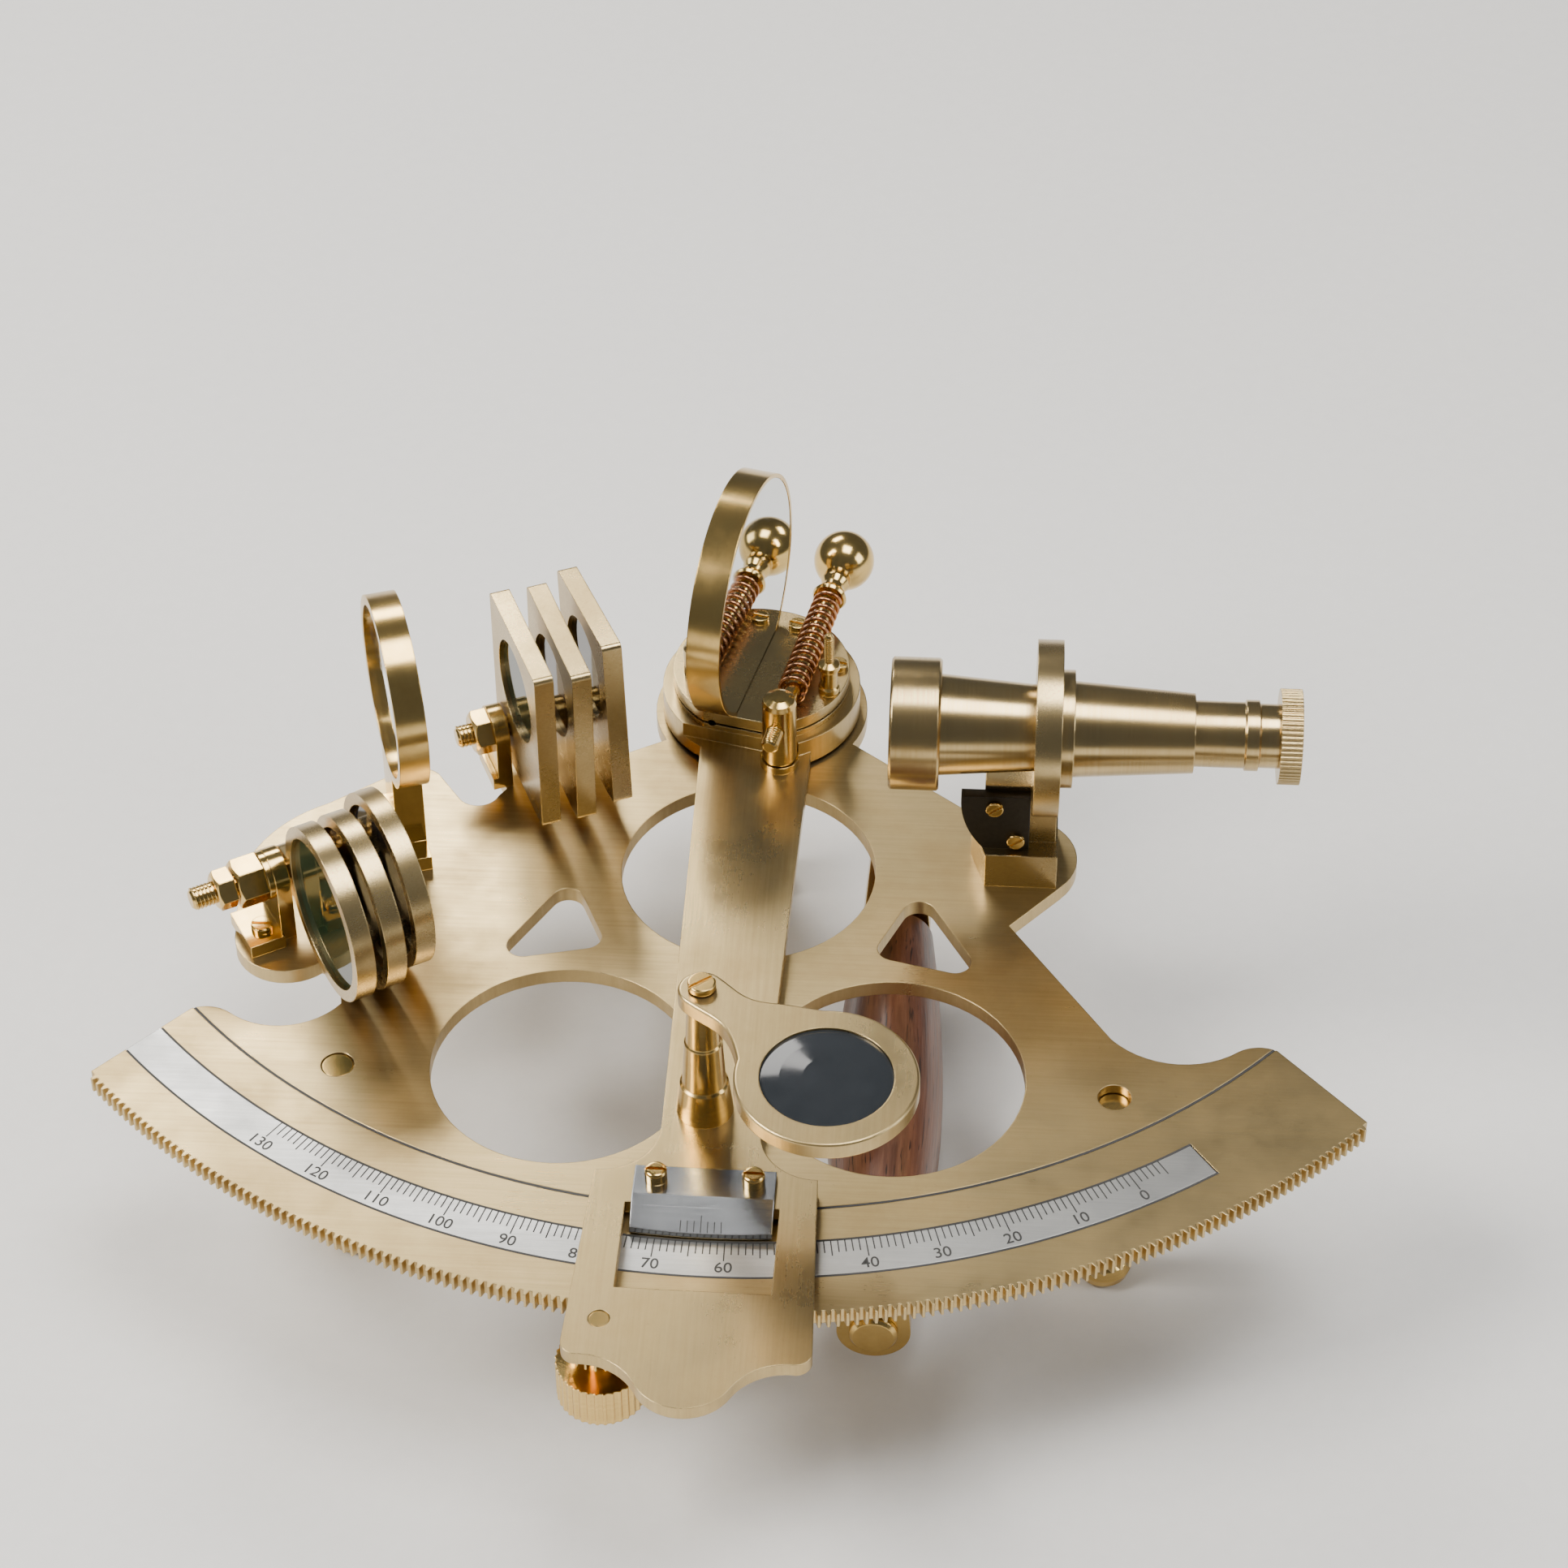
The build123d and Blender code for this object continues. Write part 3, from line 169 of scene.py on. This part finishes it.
def wood(name):
    """Oiled dark rosewood with long streaks along Y and open pores."""
    s = Shader(name)
    rings = s.noise((160, 9, 160), 5.0, 0.6)
    fine = s.noise((900, 30, 900), 5.0, 0.65)
    pores = s.noise((2200, 90, 2200), 2.0, 0.5)
    colour = s.mix(s.ranged(rings, 0.35, 0.66, 0, 1), (0.035, 0.012, 0.008), (0.16, 0.06, 0.03))
    colour = s.mix(s.ranged(fine, 0.45, 0.7, 0, 0.6), colour, (0.26, 0.11, 0.055))
    colour = s.mix(s.ranged(pores, 0.62, 0.7, 0, 0.9), colour, (0.012, 0.005, 0.004))
    s.link(colour, s.bsdf.inputs["Base Color"])
    s.link(s.ranged(fine, 0.3, 0.7, 0.28, 0.46), s.bsdf.inputs["Roughness"])
    s.bsdf.inputs["Coat Weight"].default_value = 0.25
    s.bsdf.inputs["Coat Roughness"].default_value = 0.25
    s.bump(pores, 0.00006)
    return s.material


def glass(name, colour, transmission, rough=0.03, shine=0.5):
    """Lens or shade glass with faint smears; shine is its specular level."""
    s = Shader(name)
    smear = s.noise((120, 120, 40), 5.0, 0.6)
    dust = s.noise((1500, 1500, 1500), 2.0, 0.5)
    paler = tuple(min(1, c * 1.6 + 0.01) for c in colour)
    tint = s.mix(s.ranged(smear, 0.35, 0.7, 0, 0.25), colour, paler)
    s.link(tint, s.bsdf.inputs["Base Color"])
    s.bsdf.inputs["Transmission Weight"].default_value = transmission
    s.bsdf.inputs["IOR"].default_value = 1.5
    s.bsdf.inputs["Specular IOR Level"].default_value = shine
    smeared = s.ranged(smear, 0.35, 0.7, rough, rough + 0.07)
    wear = s.math("ADD", smeared, s.ranged(dust, 0.68, 0.75, 0, 0.1))
    s.link(wear, s.bsdf.inputs["Roughness"])
    return s.material


def mirror(name):
    """Silvered glass, slightly blue, with faint smears."""
    s = Shader(name)
    smear = s.noise((90, 90, 90), 5.0, 0.6)
    colour = s.mix(s.ranged(smear, 0.4, 0.7, 0, 0.4), (0.80, 0.83, 0.84), (0.70, 0.73, 0.74))
    s.link(colour, s.bsdf.inputs["Base Color"])
    s.bsdf.inputs["Metallic"].default_value = 1.0
    s.link(s.ranged(smear, 0.35, 0.7, 0.015, 0.06), s.bsdf.inputs["Roughness"])
    return s.material


def ink(name):
    """Black wax in the engraved lines."""
    s = Shader(name)
    grain = s.noise((2500, 2500, 2500), 3.0, 0.6)
    s.link(s.mix(grain, (0.015, 0.015, 0.016), (0.05, 0.048, 0.045)), s.bsdf.inputs["Base Color"])
    s.link(s.ranged(grain, 0.3, 0.7, 0.45, 0.7), s.bsdf.inputs["Roughness"])
    return s.material


# --- materials -------------------------------------------------------------------------
champagne = (0.60, 0.455, 0.225)
champagne_dull = (0.34, 0.235, 0.095)
yellow = (0.74, 0.52, 0.19)
yellow_dull = (0.42, 0.26, 0.075)

frame_brass = metal("frame_brass", champagne, champagne_dull, (40, 1500, 60), (0.27, 0.40), (0, 0, 18))
arm_brass = metal("arm_brass", champagne, champagne_dull, (1300, 45, 60), (0.24, 0.38), (0, 0, 3))
lathe_x = metal("lathe_x_brass", champagne, yellow_dull, (2600, 12, 12), (0.18, 0.28), patches=0.3)
lathe_z = metal("lathe_z_brass", yellow, yellow_dull, (12, 12, 2600), (0.15, 0.26), patches=0.35)
polished = metal("polished_brass", yellow, yellow_dull, (260, 260, 260), (0.13, 0.24), patches=0.35)
satin = metal("satin_brass", champagne, champagne_dull, (1800, 1800, 3600), (0.22, 0.32), patches=0.4)
scale_steel = metal("scale_steel", (0.66, 0.66, 0.64), (0.36, 0.36, 0.35), (60, 1800, 60), (0.30, 0.42))
vernier_steel = metal(
    "vernier_steel", (0.46, 0.47, 0.48), (0.26, 0.27, 0.28), (60, 1500, 60), (0.16, 0.26)
)
# painted shade: the telescope web is coloured near-black for the shade it stands in behind the bracket
dark_steel = metal("dark_steel", (0.06, 0.055, 0.05), (0.03, 0.028, 0.025), (900, 40, 900), (0.35, 0.5))
copper = metal(
    "spring_copper", (0.62, 0.30, 0.15), (0.30, 0.13, 0.06), (600, 600, 600), (0.2, 0.3), edge=0.00004
)
thread_brass = metal("thread_brass", yellow, yellow_dull, (300, 300, 300), (0.18, 0.28), edge=0.00003)
rosewood = wood("handle_rosewood")
silver = mirror("silvered_glass")
clear = glass("clear_glass", (0.93, 0.96, 0.96), 1.0)
# painted shade: the reading lens is tinted dark grey and lets little light through, standing in for the
# dark seen through it
lens = glass("reading_lens_painted_shade", (0.035, 0.04, 0.046), 0.45, 0.05, 0.15)
shades = [
    glass("shade_green", (0.008, 0.03, 0.016), 0.4, shine=0.25),
    glass("shade_amber", (0.09, 0.02, 0.006), 0.4, shine=0.25),
    glass("shade_smoke", (0.016, 0.016, 0.02), 0.4, shine=0.25),
]
black_wax = ink("engraving_wax")

by_node = {
    "frame_plate": frame_brass, "index_arm": arm_brass, "scale_strip": scale_steel,
    "vernier_plate": vernier_steel, "telescope_web": dark_steel, "ball_screw_spring": copper,
    "handle_grip": rosewood, "index_mirror_glass": silver, "horizon_mirror_silvered": silver,
    "horizon_mirror_clear": clear, "objective_lens": clear, "eyepiece_lens": clear,
    "reading_lens": lens, "telescope_barrel": lathe_x, "objective_cell": lathe_x,
    "draw_tube": lathe_x, "eyepiece_ring": lathe_x, "telescope_bracket": satin,
    "lens_holder": arm_brass, "mirror_base": satin, "lens_post": lathe_z, "swivel_post": lathe_z,
    "foot_left": lathe_z, "foot_right": lathe_z, "foot_pivot": lathe_z, "pivot_bush": lathe_z,
    "pinion_knob": lathe_z, "clamp_screw": lathe_z, "mirror_adjuster": lathe_z,
}
for number in (1, 2, 3):
    by_node[f"index_shade_glass_{number}"] = shades[number - 1]
    by_node[f"horizon_shade_glass_{number}"] = shades[number - 1]
    by_node[f"index_shade_frame_{number}"] = satin
    by_node[f"horizon_shade_ring_{number}"] = satin

for node, thing in frame["nodes"].items():
    body = thing if isinstance(thing, bpy.types.Object) else bpy.data.objects[node]
    material = by_node.get(node, polished)
    for slot in body.material_slots:
        slot.material = material


# --- engraving -------------------------------------------------------------------------
def polar(radius, angle, height):
    """A point at radius from the pivot, angle degrees from -Y towards +X."""
    return Vector((radius * sin(radians(angle)), -radius * cos(radians(angle)), height))


def mesh_piece(name, corners, faces, material, body):
    """A mesh object from lists of corners and faces, riding on a body."""
    mesh = bpy.data.meshes.new(name)
    mesh.from_pydata([tuple(c) for c in corners], [], faces)
    mesh.materials.append(material)
    piece = bpy.data.objects.new(name, mesh)
    bpy.context.scene.collection.objects.link(piece)
    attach(piece, body)
    return piece


def radial_ticks(name, ticks, height, width, material, body):
    """Thin raised wax lines: each tick is an angle, an inner and an outer radius."""
    corners, faces = [], []
    box_faces = ((4, 5, 6, 7), (3, 2, 1, 0), (0, 1, 5, 4), (1, 2, 6, 5), (2, 3, 7, 6), (3, 0, 4, 7))
    for angle, inner, outer in ticks:
        half = degrees(width / 2 / inner)
        start = len(corners)
        for level in (height - wax_rise, height + wax_rise):
            corners.append(polar(inner, angle - half, level))
            corners.append(polar(inner, angle + half, level))
            corners.append(polar(outer, angle + half, level))
            corners.append(polar(outer, angle - half, level))
        for face in box_faces:
            faces.append([start + corner for corner in face])
    return mesh_piece(name, corners, faces, material, body)


def numeral(text, size, place, turn, material, body):
    """One engraved number, its top towards the pivot."""
    curve = bpy.data.curves.new(f"numeral_{text}", "FONT")
    curve.body = str(text)
    curve.size = size
    curve.align_x = "CENTER"
    curve.align_y = "CENTER"
    curve.extrude = wax_rise
    curve.offset = 0.00002
    label = bpy.data.objects.new(f"numeral_{body}_{text}", curve)
    label.matrix_world = Matrix.Translation(place) @ Matrix.Rotation(radians(turn), 4, "Z")
    bpy.context.scene.collection.objects.link(label)
    curve.materials.append(material)
    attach(label, body)


def plate_end(radius):
    """Degrees from the middle to the plate's end at this radius.

    The plate's ends are not quite radial: they lose 36.7 degrees per metre outwards.
    """
    corner_angle, corner_radius, slant = 48.05, 127.6 * MM, 36.7
    return corner_angle - slant * (radius - corner_radius)


def arc_line(name, radius, start, end, width):
    """A thin raised wax line along a circle about the pivot, on the plate's top face."""
    steps = 160
    corners, faces = [], []
    for number in range(steps + 1):
        angle = start + (end - start) * number / steps
        for level in (plate_top - wax_rise, plate_top + wax_rise):
            corners.append(polar(radius - width / 2, angle, level))
            corners.append(polar(radius + width / 2, angle, level))
    for number in range(steps):
        base = 4 * number
        for first, second in ((0, 1), (1, 3), (3, 2), (2, 0)):
            faces.append((base + first, base + second, base + 4 + second, base + 4 + first))
    faces.append((2, 3, 1, 0))
    faces.append((4 * steps, 4 * steps + 1, 4 * steps + 3, 4 * steps + 2))
    return mesh_piece(name, corners, faces, black_wax, "frame")


for name, radius in (("strip_inner_line", 134.25 * MM), ("strip_outer_line", 141.95 * MM)):
    arc_line(name, radius, -plate_end(radius), strip_right_end, 0.42 * MM)
groove_radius = 127.05 * MM
arc_line("plate_line", groove_radius, -plate_end(groove_radius), plate_end(groove_radius), 0.45 * MM)

last_reading = 130
ticks = []
for reading in range(-5, last_reading + 1):
    length = 2.6
    if reading % 5 == 0:
        length = 3.3
    if reading % 10 == 0:
        length = 4.0
    ticks.append((zero_angle - reading * division, strip_inner, strip_inner + length * MM))
radial_ticks("scale_graduations", ticks, scale_top, 0.22 * MM, black_wax, "frame")

numeral_radius = 139.9 * MM
numeral_size = 3.1 * MM
for reading in range(0, last_reading + 1, 10):
    angle = zero_angle - reading * division
    spot = polar(numeral_radius, angle, scale_top)
    numeral(reading, numeral_size, spot, angle, black_wax, "frame")


def vernier_marks():
    """The vernier's lines, lying on the slope of its tongue just inside its curved edge."""
    corners, faces = [], []
    # the tongue falls from its crest to its toe, in millimetres above the plate
    crest_radius, crest_height = 128.2, 4.4
    toe_radius, toe_height = 135.1, 0.75
    slope = (crest_height - toe_height) / (toe_radius - crest_radius)
    outer_radius, half_width = 133.7, 0.09
    vernier_division = division * 0.98
    for number in range(-10, 11):
        angle = arm_angle + number * vernier_division
        length = 2.6 if number % 5 == 0 else 1.7
        half = degrees(half_width / (outer_radius + 0.2))
        start = len(corners)
        for radius in (outer_radius, outer_radius - length):
            rise = toe_height + (toe_radius - radius) * slope
            height = plate_top + rise * MM + wax_rise
            corners.append(polar(radius * MM, angle - half, height))
            corners.append(polar(radius * MM, angle + half, height))
        faces.append((start, start + 1, start + 3, start + 2))
    return mesh_piece("vernier_marks", corners, faces, black_wax, "index_arm")


vernier_marks()


# --- threads ---------------------------------------------------------------------------
def thread(name, place, axis, start, end, radius, pitch, material, body):
    """A raised helical thread round the line through place along axis."""
    axis = Vector(axis).normalized()
    side = axis.orthogonal().normalized()
    other = axis.cross(side)
    per_turn = 16
    count = int((end - start) / pitch * per_turn)
    curve = bpy.data.curves.new(name, "CURVE")
    curve.dimensions = "3D"
    curve.bevel_depth = pitch * 0.30
    curve.bevel_resolution = 1
    spline = curve.splines.new("POLY")
    spline.points.add(count)
    for number, point in enumerate(spline.points):
        angle = 2 * pi * number / per_turn
        along = start + (end - start) * number / count
        spot = Vector(place) + axis * along + (side * cos(angle) + other * sin(angle)) * radius
        point.co = (*spot, 1.0)
    curve.materials.append(material)
    piece = bpy.data.objects.new(name, curve)
    bpy.context.scene.collection.objects.link(piece)
    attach(piece, body)


joints = {joint["name"]: joint for joint in frame["record"]["behaviour"]["joints"]}


def along_joint(name, joint, start, end, radius, pitch, body):
    """A thread about a joint's own axis, all its sizes in millimetres."""
    place, axis = joints[joint]["pos_m"], joints[joint]["axis"]
    thread(name, place, axis, start * MM, end * MM, radius * MM, pitch * MM, thread_brass, body)


along_joint("ball_screw_thread", "ball_screw_turn", -6.9, -3.0, 1.5, 0.6, "ball_screw")
along_joint("horizon_bolt_thread", "horizon_shade_turn_1", -17.1, -13.3, 1.95, 0.7, "frame")
along_joint("index_bolt_thread", "index_shade_turn_1", -9.0, -6.6, 1.95, 0.7, "frame")
adjuster_low, adjuster_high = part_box("mirror_adjuster")
adjuster = [(a + b) / 2 for a, b in zip(adjuster_low, adjuster_high)]
adjuster[2] = adjuster_low[2]
thread(
    "adjuster_thread", adjuster, (0, 0, 1), 7.4 * MM, 13.0 * MM, 0.85 * MM, 0.5 * MM,
    thread_brass, "index_arm",
)


# --- camera ----------------------------------------------------------------------------
camera_place = Vector((0.0425, -0.5959, 0.5721))
right = Vector((0.99820, 0.05969, -0.00510))
down = Vector((0.03655, -0.67415, -0.73769))
ahead = Vector((-0.04747, 0.73618, -0.67512))
camera_data = bpy.data.cameras.new("photo_camera")
camera = bpy.data.objects.new("photo_camera", camera_data)
bpy.context.scene.collection.objects.link(camera)
camera_data.sensor_width = 36.0
camera_data.lens = 96.42
camera_data.clip_start = 0.02
turn = Matrix((right, -down, -ahead)).transposed()
camera.matrix_world = Matrix.Translation(camera_place) @ turn.to_4x4()
bpy.context.scene.camera = camera


# --- floor and studio light ------------------------------------------------------------
floor_mesh = bpy.data.meshes.new("floor")
floor_half = 3.0
floor_corners = [
    (-floor_half, -floor_half, 0), (floor_half, -floor_half, 0),
    (floor_half, floor_half, 0), (-floor_half, floor_half, 0),
]
floor_mesh.from_pydata(floor_corners, [], [(0, 1, 2, 3)])
floor = bpy.data.objects.new("floor", floor_mesh)
bpy.context.scene.collection.objects.link(floor)
paper = Shader("floor_paper")
fibre = paper.noise((300, 300, 300), 4.0, 0.6)
paper.link(paper.mix(fibre, (0.74, 0.73, 0.71), (0.80, 0.79, 0.77)), paper.bsdf.inputs["Base Color"])
paper.bsdf.inputs["Roughness"].default_value = 0.85
floor_mesh.materials.append(paper.material)

world = bpy.data.worlds.new("studio")
bpy.context.scene.world = world
world.use_nodes = True
world.node_tree.nodes["Background"].inputs["Color"].default_value = (0.80, 0.84, 0.90, 1.0)
world.node_tree.nodes["Background"].inputs["Strength"].default_value = 0.16


def softbox(name, place, aim, width, height, power, colour):
    """A rectangular area light at place, facing aim."""
    data = bpy.data.lights.new(name, "AREA")
    data.shape = "RECTANGLE"
    data.size = width
    data.size_y = height
    data.energy = power
    data.color = colour
    light = bpy.data.objects.new(name, data)
    bpy.context.scene.collection.objects.link(light)
    direction = Vector(aim) - Vector(place)
    facing = direction.to_track_quat("-Z", "Y").to_matrix().to_4x4()
    light.matrix_world = Matrix.Translation(place) @ facing


# the lights aim at the middle of the sextant
middle = (0.0, -0.06, 0.05)
softbox("key_left", (-0.75, -0.30, 0.85), middle, 0.50, 0.50, 17.0, (1.0, 0.96, 0.90))
softbox("top_back", (-0.35, 0.80, 0.80), middle, 0.45, 0.30, 6.0, (1.0, 0.97, 0.92))
softbox("overhead", (0.25, -0.10, 1.30), middle, 0.60, 0.60, 12.0, (1.0, 0.98, 0.95))
softbox("fill_right", (0.95, -0.25, 0.5), middle, 0.5, 0.5, 4.0, (0.95, 0.97, 1.0))
